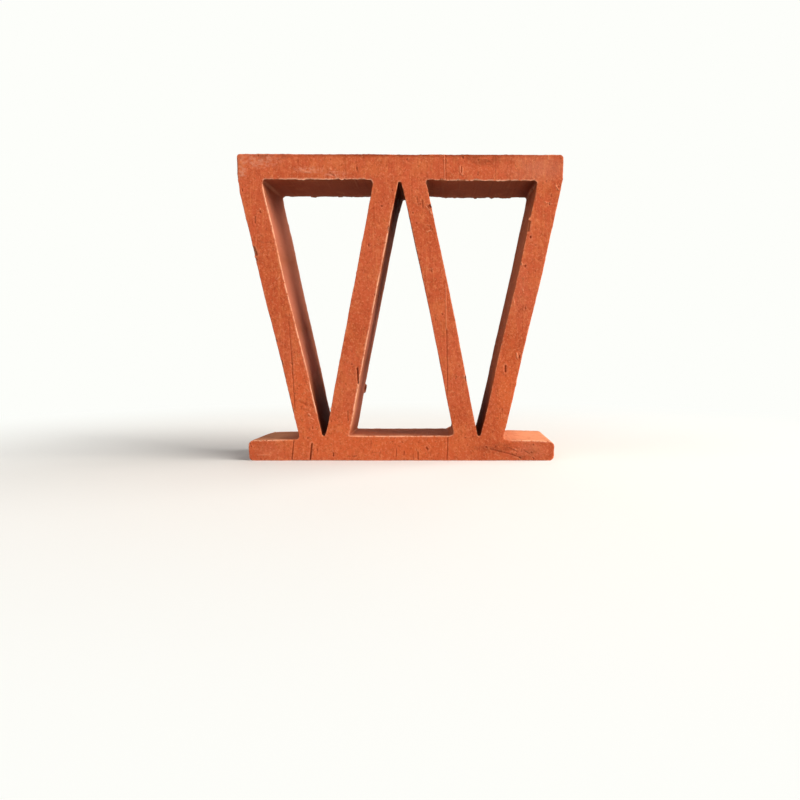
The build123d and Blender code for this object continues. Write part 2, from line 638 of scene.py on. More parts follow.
# Marks that catch the eye on the front, in millimetres: (from x, z), (to x, z), half width, depth
FRONT_MARKS = {
    "drag line down the left leg": [
        ((-70.9, 89), (-70.4, 80), 0.45, 0.2), ((-70.4, 80), (-70.0, 70), 0.5, 0.3),
        ((-70.0, 70), (-69.6, 62), 0.55, 0.4), ((-69.6, 62), (-69.2, 49), 0.5, 0.4),
        ((-69.2, 49), (-68.8, 33), 0.5, 0.35), ((-69.8, 62.5), (-69.4, 62), 0.8, 0.6)],
    "drag lines on the lower slab": [
        ((-69.8, 15), (-71.7, 0), 0.55, 0.6), ((-58.2, 11), (-59.8, 0), 0.75, 1.1),
        ((30.1, 15), (29.5, 0), 0.6, 0.42), ((10.7, 5.5), (10.7, 0.5), 0.6, 0.45),
        ((7.5, 4), (7.5, 0.5), 0.5, 0.35), ((-19.8, 13), (-20.2, 8), 0.5, 0.3),
        ((-3.4, 7.5), (-3.6, 2.5), 0.5, 0.35), ((1.6, 6.2), (1.5, 3.6), 0.5, 0.4)],
    "drag line down the inner-right leg": [
        ((28.5, 111.5), (29.1, 84), 0.45, -0.22), ((29.1, 84), (29.6, 58), 0.55, 0.35),
        ((29.6, 58), (29.5, 42), 0.5, 0.3)],
    "drag lines on the upper slab": [
        ((27.4, 188.5), (27.8, 174), 0.4, -0.25), ((28.1, 190), (28.5, 174), 0.4, 0.25),
        ((58.4, 190), (58.8, 175), 0.4, 0.14)],
    "gouges": [
        ((-27.8, 59.5), (-27.4, 50), 0.75, 1.2), ((-34.6, 32), (-34.5, 26), 0.45, 0.5),
        ((37.8, 181.7), (38.0, 178.5), 0.5, 0.25), ((-89.6, 152.5), (-89.9, 148.5), 0.45, 0.6),
        ((66.9, 61), (66.9, 57.5), 0.75, 1.0), ((-7.4, 146.5), (-7.4, 144), 0.55, 0.7),
        ((13.7, 162.5), (14.4, 158), 0.45, 0.45), ((10.6, 164), (11.3, 159.5), 0.45, 0.35),
        ((75.7, 67.6), (75.6, 66.2), 0.55, 0.8), ((91, 188.5), (91.3, 186), 0.4, -0.3)],
    "pits": [
        ((-86.5, 155.7), (-86.4, 155.2), 0.6, 0.6), ((-11.3, 158.9), (-11.2, 158.6), 0.6, 0.7),
        ((-19.7, 136), (-19.6, 135), 0.55, 0.6), ((-4.6, 168.3), (-4.5, 167.8), 0.5, 0.5),
        ((-44.6, 5), (-44.4, 3), 0.55, 0.8), ((81.1, 140.5), (81.2, 140.2), 0.75, 0.8),
        ((78.1, 123), (78.2, 122.7), 0.75, 0.8), ((78.6, 97.5), (78.7, 97), 0.6, 0.6),
        ((41.2, 54), (41.3, 53), 0.8, 0.9), ((10, 149), (10.2, 148.6), 0.5, 0.5),
        ((19.3, 120.3), (19.6, 119.7), 0.6, 0.5), ((26.2, 93.6), (26.4, 93.3), 0.55, 0.5),
        ((16.2, 8.3), (17, 7.4), 0.7, 0.7), ((0.2, 12.4), (0.7, 11.9), 0.5, 0.4),
        ((-91.9, 13.4), (-91.4, 13.2), 0.55, 0.6), ((-88.1, 13.3), (-87.6, 13.2), 0.5, 0.5),
        ((-84.2, 13.5), (-83.4, 13.4), 0.5, 0.5), ((-98.4, 11.3), (-98.2, 10.9), 0.6, 0.5),
        ((-97.8, 9.4), (-97.6, 9), 0.5, 0.5), ((55, 8.9), (55.3, 8.8), 0.65, 0.7),
        ((84.3, 5.4), (84.9, 5.1), 0.6, 0.6), ((85.6, 2), (86.2, 1), 0.6, 0.6),
        ((77.1, 2), (77.7, 1.6), 0.6, 0.6), ((-29.6, 3), (-31.6, 2.2), 0.6, 0.5),
        ((-42.7, 178), (-40.4, 176.7), 0.7, 0.35), ((-26.2, 181.3), (-26.1, 180), 0.6, 0.5)],
    "scrapes": [
        ((57.6, 7.6), (72, 3.9), 0.5, 0.4), ((72, 3.9), (77, 2), 0.5, 0.45),
        ((70, 8.4), (75.5, 5.6), 0.45, 0.35), ((79.5, 6.8), (83.5, 4.2), 0.45, 0.3),
        ((-65.2, 38.1), (-61.6, 36.1), 1.2, 0.2), ((-61.6, 36.1), (-57.6, 35.2), 1.5, 0.14),
        ((-64.5, 33.5), (-60.4, 32.6), 1.4, 0.14), ((-62, 29.5), (-58.5, 30.2), 1.6, 0.12),
        ((-89, 138.2), (-85.3, 136.7), 0.5, 0.2), ((-85.3, 136.7), (-80.5, 137.4), 0.5, 0.2)],
    "flecks on the left leg": [
        ((-81.9, 110.5), (-80.6, 111.3), 0.45, -0.2), ((-79.5, 112.5), (-78.5, 113.2), 0.45, -0.2),
        ((-77.5, 114.8), (-75.6, 116.4), 0.5, -0.2), ((-78.3, 115.6), (-77.8, 117.2), 0.4, -0.15)],
    "curls of dragged clay": [
        ((37.0, 182.4), (37.3, 178.3), 0.4, -0.3), ((38.7, 181.2), (38.6, 178.3), 0.45, -0.3),
        ((73.9, 69.4), (74.5, 66.2), 0.6, -0.4),
        ((40.4, 54.9), (40.7, 53.6), 0.6, -0.4), ((75.9, 124.9), (76.2, 123.7), 0.55, -0.35),
        ((16.4, 147.1), (18.8, 146.9), 0.5, 0.2), ((18.8, 146.9), (19.2, 144.6), 0.5, 0.25),
        ((19.2, 144.6), (17, 143.6), 0.55, -0.3), ((16.0, 158.8), (18.6, 156.6), 0.5, -0.25),
        ((18.9, 155.4), (19.6, 154.4), 0.7, -0.4), ((18.7, 159.3), (19.2, 158.2), 0.75, 1.1),
        ((-86.4, 157.3), (-86.3, 157), 0.7, -0.3), ((-42.7, 180.8), (-42.3, 180.5), 0.8, -0.35),
        ((38.2, 177.8), (38.6, 177.3), 0.8, -0.3), ((73.9, 7.6), (74.3, 7.4), 0.7, -0.3),
        ((-59.2, 179.3), (-56.4, 178.9), 1.0, -0.16), ((-56.4, 178.9), (-53.4, 179.6), 0.9, -0.12),
        ((89.6, 161.3), (94, 160), 0.6, -0.2), ((96.2, 170.5), (98, 168.3), 0.6, -0.25),
        ((-93.6, 3.6), (-86, 3.8), 0.6, -0.15), ((-59.8, 30.4), (-58.9, 29.8), 0.7, -0.4),
        ((-58.2, 27.6), (-56.6, 26.7), 0.5, -0.3), ((76.9, 109.2), (77.4, 107.8), 0.5, -0.3),
        ((71.4, 102.3), (71.9, 100.6), 0.5, -0.3)],
}

# Chips out of arrises and burrs standing on them, in millimetres: from, to, half width, depth, push
EDGE_MARKS = [
    ((-91.4, -30, 133.6), (-90.1, -30, 130), 1.3, 1.3, (1, 0.5, 0)),
    ((-90.0, -30, 127.5), (-89.6, -30, 126), 0.8, 0.6, (1, 0.3, 0)),
    ((-99.8, -30, 176.3), (-99.6, -30, 175.3), 0.9, 0.8, (1, 0.4, 0)),
    ((18.0, -30, 158.7), (18.5, -30, 157.6), 0.9, 1.0, (-1, 0.6, 0)),
    ((80.5, -30, 151.8), (80.4, -30, 151.2), 0.9, -0.8, (1, 0, 0)),
    ((80.2, -30, 149.4), (79.4, -30, 144.4), 1.1, 1.2, (1, 0.5, 0)),
    ((75.3, -30, 124.5), (75.2, -30, 123.8), 0.7, 0.6, (1, 0.4, 0)),
    ((41.8, -30, 52.8), (42.0, -30, 51.8), 0.9, 0.9, (-1, 0.8, 0)),
    ((-79.1, -30, 77.6), (-78.9, -30, 76.6), 0.7, 0.6, (1, 0.4, 0)),
    ((-76.3, -30, 64.5), (-75.8, -30, 62.2), 0.8, 0.7, (1, 0.4, 0)),
    ((-74.9, -30, 56.6), (-74.6, -30, 55.4), 0.6, 0.5, (1, 0.4, 0)),
    ((-70.2, -30, 34.0), (-69.8, -30, 31.5), 0.7, 0.6, (1, 0.5, 0)),
    ((-45.8, -30, 34.8), (-45.5, -30, 33.9), 0.7, -0.6, (1, 0, 0)),
    ((75.0, -30, 13.3), (76.4, -30, 13.3), 0.8, -0.5, (0, 0, -1)),
    ((-28.1, 30, 45.6), (-29.0, 30, 41.0), 1.3, -1.4, (-1, 0, 0)),
    ((32.4, 30, 15), (31.2, 30, 15), 1.2, -0.8, (0, 0, -1)),
    ((49, 30, 174), (50, 30, 174), 1.0, -0.7, (0, 0, 1)),
    ((-63, 30, 174.5), (-60.0, 30, 174.5), 0.9, -0.6, (0, 0, 1)),
    ((-44, 30, 174.5), (-42.0, 30, 174.5), 0.8, -0.5, (0, 0, 1)),
    ((-95.0, 30, 12.6), (-93.8, 30, 12.6), 1.0, -0.6, (0, 0, -1)),
]

# Small pits that are too many to place by hand, on both cut faces and on the walls
CUT_PITS = 240
WALL_PITS = 40
PIT_RADII = (0.3 * MM, 0.6 * MM)
PIT_DEPTHS = (0.2 * MM, 0.6 * MM)
PIT_LENGTH = 1.44 * MM

# The back's drag lines, whose place is in shares of half the width and of the height
BACK_LINES = 9
BACK_LINE_SPAN = 0.9
BACK_LINE_HEIGHTS = (0.1, 0.9)
BACK_LINE_LENGTHS = (15 * MM, 50 * MM)
BACK_LINE_LEAN = 1 * MM
BACK_LINE_RADIUS = 0.5 * MM
BACK_LINE_DEPTHS = (0.3 * MM, 0.6 * MM)


def placed_marks():
    """The marks that were listed one by one, in metres."""
    marks = []
    for strokes in FRONT_MARKS.values():
        for (x0, z0), (x1, z1), radius, depth in strokes:
            start = (x0 * MM, FRONT, z0 * MM)
            end = (x1 * MM, FRONT, z1 * MM)
            marks.append(Mark(start, end, radius * MM, depth * MM))
    for start, end, radius, depth, push in EDGE_MARKS:
        start, end = (tuple(value * MM for value in place) for place in (start, end))
        marks.append(Mark(start, end, radius * MM, depth * MM, push))
    return marks


def read_faces(block):
    """Each face's centre and outward normal as rows, and its area."""
    faces = block.data.polygons
    centres, normals, areas = (np.empty(len(faces) * size) for size in (3, 3, 1))
    faces.foreach_get("center", centres)
    faces.foreach_get("normal", normals)
    faces.foreach_get("area", areas)
    return centres.reshape(-1, 3), normals.reshape(-1, 3), areas


def between(ends, share):
    """What lies at a share of the way from one end to the other."""
    return ends[0] + share * (ends[1] - ends[0])


def loose_marks(block, draw):
    """Pits scattered over the cut faces and walls, and the back's own drag lines."""
    centres, normals, areas = read_faces(block)
    marks = []
    cut = np.abs(normals[:, 1]) > CUT_FACING
    for count, faces in ((CUT_PITS, np.flatnonzero(cut)), (WALL_PITS, np.flatnonzero(~cut))):
        for face in draw.choices(faces, weights=areas[faces], k=count):
            length = draw.random() ** 2 * PIT_LENGTH
            end = centres[face] + ((0, 0, length) if cut[face] else (0, length, 0))
            size = draw.random() ** 2
            marks.append(Mark(
                centres[face], end, between(PIT_RADII, size), between(PIT_DEPTHS, size), -normals[face]))
    for line in range(BACK_LINES):
        x = draw.uniform(BACK_LINE_SPAN * LOW.x, BACK_LINE_SPAN * HIGH.x)
        z = draw.uniform(*BACK_LINE_HEIGHTS) * HEIGHT
        length = draw.uniform(*BACK_LINE_LENGTHS)
        end = (x + draw.uniform(-BACK_LINE_LEAN, BACK_LINE_LEAN), BACK, z - length)
        depth = draw.uniform(*BACK_LINE_DEPTHS)
        marks.append(Mark((x, BACK, z), end, BACK_LINE_RADIUS, depth, (0, -1, 0)))
    return marks


# How finely faces are cut near a mark: first within the wide margin, then within the narrow one
MARK_MARGINS = (0.8 * MM, 0.3 * MM)
TORN_MARGIN = 0.9 * MM


def cut_finer(block, wanted):
    """Cuts the wanted faces in four."""
    deselect_all()
    block.select_set(True)
    bpy.context.view_layer.objects.active = block
    bpy.context.tool_settings.mesh_select_mode = (False, False, True)
    block.data.vertices.foreach_set("select", np.zeros(len(block.data.vertices), bool))
    block.data.edges.foreach_set("select", np.zeros(len(block.data.edges), bool))
    block.data.polygons.foreach_set("select", wanted)
    bpy.ops.object.mode_set(mode="EDIT")
    bpy.ops.mesh.subdivide(number_cuts=1, ngon=False)
    bpy.ops.object.mode_set(mode="OBJECT")


def refine(block, marks, section):
    """Cuts the mesh finer near every mark, and along the torn arrises under the upper slab."""
    centres, normals, areas = read_faces(block)
    near_cut = DEPTH / 2 - np.abs(centres[:, 1]) < TORN_MARGIN
    near_under = np.abs(centres[:, 2] - section.under) < TORN_MARGIN
    wanted = near_cut & near_under
    for margin in MARK_MARGINS:
        for mark in marks:
            wanted |= mark.distance(centres) < mark.radius + margin
        cut_finer(block, wanted)
        centres, normals, areas = read_faces(block)
        wanted = np.zeros(len(centres), bool)


# Arrises round the cut faces: how far in from one its wear reaches
ARRIS_REACH = 3.0 * MM

# Radius of the wear, how much it varies, its least value, and what a nick adds to it
WORN_RADIUS = 0.36 * MM
WORN_SPREAD = 0.18 * MM
WORN_LEAST = 0.1 * MM
WORN_BY_NICK = 0.3

# How deep the wire tore: on the legs' sides and on the upper slab's underside
TORN_SIDES = 0.30 * MM
TORN_UNDERSIDES = 1.0 * MM

# Sizes of a tear's lumps and waves, and each one's share in it
TEAR_CRUMB = 1.5 * MM
TEAR_LUMP = 2.6 * MM
TEAR_WAVE = 8.0 * MM
LUMP_SHARE = 0.6
WAVE_SHARE = 0.4

# Nicks: the size of their pattern, the level above which it cuts in, and how deep
NICK_LUMP = 3.2 * MM
NICK_LEVEL = 0.30
NICK_DEPTH = 2.6 * MM

# Burrs that the wire left on the back: how far they hang from an underside and stand out from a side
BURR_BACK = 0.8 * MM
BURR_LEVEL = 0.3
SIDE_BURR_BACK = 0.45 * MM
SIDE_BURR_LEVEL = 0.1

# How fast a tear and its lip die out away from the arris, and how much of a burr the lip is
TEAR_FALL = 1.6 * MM
TEAR_SLANT = 0.7
LIP_FALL = 0.9 * MM
LIP_SHARE = 0.35

# How near to an arris its colours show, among them a painted highlight and painted shade, on the front and
# on the back
NEAR_FRONT = 0.55 * MM
NEAR_BACK = 0.9 * MM

# Each pattern of the noise is taken from a place of its own
NOISE_STEPS = (7.3, 3.1, 5.7)


def ripple(place, lump, seed):
    """Smooth noise from -1 to 1 with lumps of that size."""
    return noise.noise(Vector(place) / lump + Vector([seed * step for step in NOISE_STEPS]))


def find_arrises(block):
    """Points where a cut face meets a wall, each with the wall's outward direction there."""
    grid = bmesh.new()
    grid.from_mesh(block.data)
    places, outward = [], []
    for vert in grid.verts:
        walls = [face.normal for face in vert.link_faces if abs(face.normal.y) < CUT_FACING]
        if walls and len(walls) < len(vert.link_faces):
            places.append(vert.co.copy())
            outward.append(sum(walls, Vector()).normalized())
    grid.free()
    return places, outward


def arris_state(place, outward, seed):
    """How far one point of an arris is rounded, and how far it is torn back."""
    under = max(0.0, -outward.z) ** 2 if place.z > HEIGHT / 2 else 0.0
    torn = TORN_SIDES + (TORN_UNDERSIDES - TORN_SIDES) * under
    lump = LUMP_SHARE * ripple(place, TEAR_LUMP, seed) + LUMP_SHARE * ripple(place, TEAR_CRUMB, seed + 3)
    wave = ripple(place, TEAR_WAVE, seed + 1)
    nick = max(0.0, ripple(place, NICK_LUMP, seed + 2) - NICK_LEVEL) * NICK_DEPTH
    worn = max(WORN_LEAST, WORN_RADIUS + WORN_SPREAD * wave + WORN_BY_NICK * nick)
    burr = 0.0
    if place.y > 0:
        side = max(0.0, -outward.x) if place.x > 0 else 0.0
        burr = BURR_BACK * under * max(0.0, lump + BURR_LEVEL)
        burr += SIDE_BURR_BACK * side * max(0.0, lump + SIDE_BURR_LEVEL)
    return worn, torn * (lump + WAVE_SHARE * wave) + nick * torn / TORN_UNDERSIDES - burr


def wear_arrises(block, seed):
    """Rounds, tears and nicks the arrises of both cut faces, and keeps how near each point is to one."""
    places, outward = find_arrises(block)
    states = [arris_state(place, way, seed) for place, way in zip(places, outward)]
    tree = kdtree.KDTree(len(places))
    for i, place in enumerate(places):
        tree.insert(place, i)
    tree.balance()

    points = read_points(block)
    nearness = np.zeros(len(points))
    for i in np.flatnonzero(DEPTH / 2 - np.abs(points[:, 1]) < ARRIS_REACH):
        point = Vector(points[i])
        found = [hit for hit in tree.find_n(point, 2) if hit[2] < ARRIS_REACH]
        if not found:
            continue
        weights = [1 / (TINY + reach) for place, index, reach in found]
        share = [weight / sum(weights) for weight in weights]
        way = sum((outward[hit[1]] * s for hit, s in zip(found, share)), Vector()).normalized()
        worn = sum(states[hit[1]][0] * s for hit, s in zip(found, share))
        torn = sum(states[hit[1]][1] * s for hit, s in zip(found, share))
        side = math.copysign(1.0, point.y)
        deep = max(0.0, DEPTH / 2 - abs(point.y))
        inside = max(0.0, (found[0][0] - point).dot(way))
        new_deep, new_inside = deep, inside
        if deep < worn and inside < worn:
            ray = Vector((deep - worn, inside - worn))
            ray *= worn / max(ray.length, TINY)
            new_deep, new_inside = worn + ray.x, worn + ray.y
        fall = max(0.0, 1 - math.hypot(deep, TEAR_SLANT * inside) / TEAR_FALL) ** 2
        new_inside += torn * fall
        new_deep -= LIP_SHARE * max(0.0, -torn) * max(0.0, 1 - inside / LIP_FALL) ** 2 * fall
        points[i] += np.array(way) * (inside - new_inside)
        points[i][1] += side * (deep - new_deep)
        nearness[i] = math.exp(-(found[0][2] / (NEAR_FRONT if side < 0 else NEAR_BACK)) ** 2)
    write_points(block, points)
    return nearness


# A mark's outline is roughened by lumps of this size and by this share
MARK_LUMP = 0.8 * MM
MARK_ROUGHNESS = 0.45

# The clay heaped round a mark: its share of the depth, and where it lies and how wide it is in half widths
HEAP_SHARE = 0.16
HEAP_BELL = (1.4, 0.3)

# Depths from which a mark has its full colour: the dark of a hollow, partly painted shade, and the painted
# highlight of a ridge and of its heap
FULL_HOLLOW = 0.8 * MM
FULL_RIDGE = 0.5 * MM
FULL_HEAP = 1.0 * MM
HEAP_COLOUR = 2


def press_marks(block, marks, seed):
    """Presses every mark into the skin, and keeps how hollow or raised each point is."""
    points = read_points(block)
    moved = points.copy()
    hollow = np.zeros(len(points))
    raised = np.zeros(len(points))
    for mark in marks:
        reach = mark.distance(points) / mark.radius
        near = np.flatnonzero(reach < MARK_REACH)
        rough = np.array([ripple(points[i], MARK_LUMP, seed) for i in near])
        reach = reach[near] * (1 + MARK_ROUGHNESS * rough)
        press = (1 - np.clip(reach, 0, 1) ** 2) ** 2
        heap = HEAP_SHARE * bell(reach, *HEAP_BELL)
        moved[near] += np.outer(mark.depth * (press - heap), mark.push)
        dent = press * np.clip(mark.depth / FULL_HOLLOW, 0, 1)
        ridge = press * np.clip(-mark.depth / FULL_RIDGE, 0, 1)
        ridge += HEAP_COLOUR * heap * np.clip(mark.depth / FULL_HEAP, 0, 1)
        hollow[near] = np.maximum(hollow[near], dent)
        raised[near] = np.maximum(raised[near], ridge)
    write_points(block, moved)
    return hollow, raised


def keep_values(block, name, values):
    """Keeps one number for each point, for the material."""
    layer = block.data.attributes.new(name, "FLOAT", "POINT")
    layer.data.foreach_set("value", values)


def displace(block, name, lump, strength, group=""):
    """Displaces the skin by soft lumps of that size."""
    texture = bpy.data.textures.new(name, "CLOUDS")
    texture.noise_scale = lump
    texture.noise_depth = 2
    modifier = block.modifiers.new(name, "DISPLACE")
    modifier.texture = texture
    modifier.texture_coords = "LOCAL"
    modifier.strength = strength
    modifier.vertex_group = group
    bpy.context.view_layer.objects.active = block
    bpy.ops.object.modifier_apply(modifier=name)


def group_points(block, name, weights):
    """A vertex group with one weight for each point."""
    group = block.vertex_groups.new(name=name)
    for i, weight in enumerate(weights):
        if weight > 0:
            group.add([i], float(weight), "REPLACE")


# The soft waves that the die left in the skin, and the lumps that the wire left on the cut faces
DIE_WAVE = 16 * MM
DIE_WAVE_HEIGHT = 0.4 * MM
WIRE_LUMP = 4.5 * MM
WIRE_LUMP_HEIGHT = 0.22 * MM


def weather(block, section, looks):
    """Everything that cutting, drying and handling did to the true block."""
    warp(block, section)
    marks = placed_marks() + loose_marks(block, random.Random(looks.seed))
    refine(block, marks, section)
    centres, normals, areas = read_faces(block)
    cut_share = np.zeros(len(block.data.vertices))
    for face in np.flatnonzero(np.abs(normals[:, 1]) > CUT_FACING):
        cut_share[list(block.data.polygons[face].vertices)] = 1.0
    nearness = wear_arrises(block, looks.seed)
    hollow, raised = press_marks(block, marks, looks.seed)
    keep_values(block, "cut_face", cut_share)
    keep_values(block, "arris", nearness)
    keep_values(block, "hollow", hollow)
    keep_values(block, "raised", raised)
    group_points(block, "cut_face", cut_share)
    displace(block, "die_waves", DIE_WAVE, DIE_WAVE_HEIGHT)
    displace(block, "wire_lumps", WIRE_LUMP, WIRE_LUMP_HEIGHT, "cut_face")


MOST_TRIANGLES = 200000


def check_closed(block):
    """Stops the script if the block has an open edge or too many triangles."""
    grid = bmesh.new()
    grid.from_mesh(block.data)
    open_edges = sum(1 for edge in grid.edges if not edge.is_manifold)
    triangles = sum(len(face.verts) - 2 for face in grid.faces)
    grid.free()
    print("clay_block: open edges", open_edges, "triangles", triangles)
    if open_edges or triangles > MOST_TRIANGLES:
        raise RuntimeError("the block's mesh is open or too heavy")


def add_node(tree, kind, settings=None, inputs=None, links=None):
    """Adds a shader node with its settings, its unlinked values and its links from other sockets."""
    node = tree.nodes.new(kind)
    for name, value in (settings or {}).items():
        setattr(node, name, value)
    for name, value in (inputs or {}).items():
        node.inputs[name].default_value = value
    for name, socket in (links or {}).items():
        tree.links.new(socket, node.inputs[name])
    return node


# Sockets of the colour Mix node, which are found by number because its other types share their names
MIX_A, MIX_B, MIX_RESULT = 6, 7, 2

# What tints the clay, from the body outwards. Lumps are their size in millimetres along x, y and z.
# A tint shows where its noise passes from low to high, by its amount, in the area it is for.
# Real grit is under half a millimetre, too fine to show, so the sand is drawn from 1.2 mm up.
TINTS = (
    ("uneven_firing", "B24A24", (42, 42, 42), 0.44, 0.66, 0.38, "all"),
    ("sandy_mottle", "D87644", (9, 9, 11), 0.47, 0.68, 0.36, "cut_face"),
    ("iron_mottle", "A84624", (7, 7, 9), 0.48, 0.72, 0.34, "cut_face"),
    ("wire_streaks_pale", "E0854F", (1.6, 12, 40), 0.54, 0.74, 0.30, "cut_face"),
    ("wire_streaks_dark", "A04422", (2.0, 12, 55), 0.54, 0.74, 0.30, "cut_face"),
    ("flushed_clay", "DC6636", (30, 30, 20), 0.10, 0.40, 0.50, "flush"),
    ("extruded_skin", "AF613D", (28, 28, 28), 0.05, 0.25, 0.94, "wall"),
    ("skin_mottle_dark", "A45636", (14, 22, 14), 0.46, 0.66, 0.35, "wall"),
    ("skin_mottle_pale", "CC7C52", (11, 18, 11), 0.50, 0.70, 0.35, "wall"),
    ("die_lines_dark", "8E4E33", (1.4, 90, 1.4), 0.52, 0.72, 0.34, "wall"),
    ("die_lines_pale", "D2885F", (1.8, 70, 1.8), 0.56, 0.74, 0.30, "wall"),
    ("coarse_sand_pale", "E68956", (2.6, 2.6, 2.9), 0.50, 0.68, 0.26, "cut_face"),
    ("coarse_sand_dark", "983F1E", (2.4, 2.4, 2.8), 0.52, 0.70, 0.24, "cut_face"),
    ("fine_sand_pale", "EE9A6C", (1.2, 1.2, 1.3), 0.50, 0.72, 0.34, "cut_face"),
    ("fine_sand_dark", "843416", (1.2, 1.2, 1.3), 0.52, 0.72, 0.38, "all"),
    # Painted light: the walls that face the key lamp on the right are made paler and pinker
    ("painted_light_on_walls", "CE785B", (30, 60, 30), 0.10, 0.40, 0.85, "painted_light_on_walls"),
    # Partly dust, partly painted sheen: paler tops of the lower slab's ends, and painted light on a strip at
    # the front of the inner left leg's right wall
    ("dust_and_painted_light_on_ledges", "E2986E", (5, 9, 5), 0.05, 0.55, 0.80, "ledges_and_lit_strip"),
    # Painted sheen: the walls are made paler along their back edge, as if light from behind grazed them
    ("painted_back_edge_sheen", "D89A7C", (6, 6, 6), 0.20, 0.50, 0.40, "back_edge"),
    # Painted shade: the walls are darkened in the openings' narrow ends and in the right opening's upper
    # right corner
    ("painted_cleft_shade", "6C2006", (30, 60, 30), 0.10, 0.30, 0.90, "cleft"),
    # Painted highlight: a pale line in the corners where the upper slab's underside meets the outer legs,
    # for the light their fillets catch
    ("painted_seam_highlight", "DE9C78", (3, 12, 3), 0.30, 0.50, 0.60, "seam"),
    ("thin_bloom", "DE9C7E", (14, 20, 10), 0.20, 0.55, 0.22, "thin_bloom"),
    ("salt_bloom", "DE9C7E", (2.4, 3, 1.7), 0.38, 0.66, 0.52, "bloom"),
    # Partly scuffs, partly painted shade: brown scuffs low on the right, and a darker band along the upper
    # slab's top edge
    ("scuffs_and_painted_edge_shade", "8E4024", (6, 6, 3), 0.40, 0.60, 0.50, "scuffs_and_shaded_edge"),
    # Partly wear, partly painted highlight: paler arrises, for worn clay and for the light they catch
    ("worn_arris_and_highlight", "F4A478", (2.2, 2.2, 2.2), 0.44, 0.58, 0.50, "arris"),
    # Partly torn clay, partly painted highlight: pale lips along the openings' front arrises, for the rims
    # that catch light
    ("torn_lip_and_highlight", "FCC09C", (2.0, 2.0, 2.0), 0.34, 0.52, 0.90, "lips_and_lit_rims"),
    # Painted highlight: raised marks and the clay heaped round marks are made paler
    ("painted_ridge_highlight", "F4A67C", (20, 20, 20), 0.00, 0.20, 0.80, "raised"),
    ("shaded_burrs", "34100A", (2.2, 2.2, 2.2), 0.40, 0.52, 0.85, "back_rim"),
    # Painted shade: a dark line along the upper slab's top front edge, at the left end's upper corner and
    # beside a burr on the back
    ("painted_edge_shade", "7C2E14", (10, 4, 2), 0.26, 0.48, 0.80, "shaded_edge"),
)
# The marks' hollows are darkened by this colour: partly dirt in them, partly painted shade
HOLLOW_COLOUR = "5C220E"
HOLLOW_SHARE = 0.72

# The noise behind every tint, and how far each tint's own stands off from the one before it
NOISE_LOOK = {"Scale": 1.0, "Detail": 3.0, "Roughness": 0.6}
TINT_STEPS = (3.7, 1.9, 5.3)

# Fired clay scatters light from a rough, porous skin, and mirrors next to nothing
CLAY_ROUGHNESS = 0.82
CLAY_IOR = 1.5
CLAY_SHINE = 0.05

